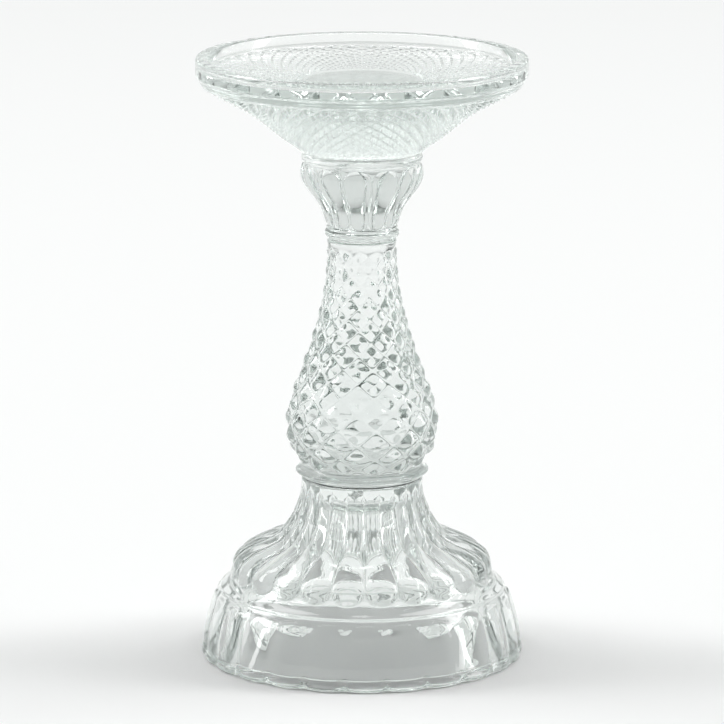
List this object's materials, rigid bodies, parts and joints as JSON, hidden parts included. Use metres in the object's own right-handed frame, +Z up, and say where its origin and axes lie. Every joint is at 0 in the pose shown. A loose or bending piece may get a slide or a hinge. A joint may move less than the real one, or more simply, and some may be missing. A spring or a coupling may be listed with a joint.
{
  "type": "glass candlestick",
  "caption": "Tall clear pressed-glass candlestick: wide shallow candle dish with diamond-point underside, fluted crown, diamond-cut baluster stem and hollow petal foot.",
  "frame": {"origin": "on the vertical axis at the resting plane, at the bottom centre of the bounding box", "axes": "+Z up along the candlestick's axis, -Y towards the front, +X to the right seen from the front"},
  "size_m": [0.1276, 0.1276, 0.235],
  "materials": {
    "pressed_glass": "fire-polished clear pressed glass, IOR about 1.5, faint cool tint",
    "clear_adhesive": "cured clear adhesive film, IOR about 1.5, slightly hazy"
  },
  "bodies": {
    "root": {"foot": "pressed_glass", "baluster_stem": "pressed_glass", "fluted_crown": "pressed_glass", "candle_dish": "pressed_glass", "foot_bond": "clear_adhesive", "crown_bond": "clear_adhesive", "dish_bond": "clear_adhesive"}
  },
  "joints": []
}
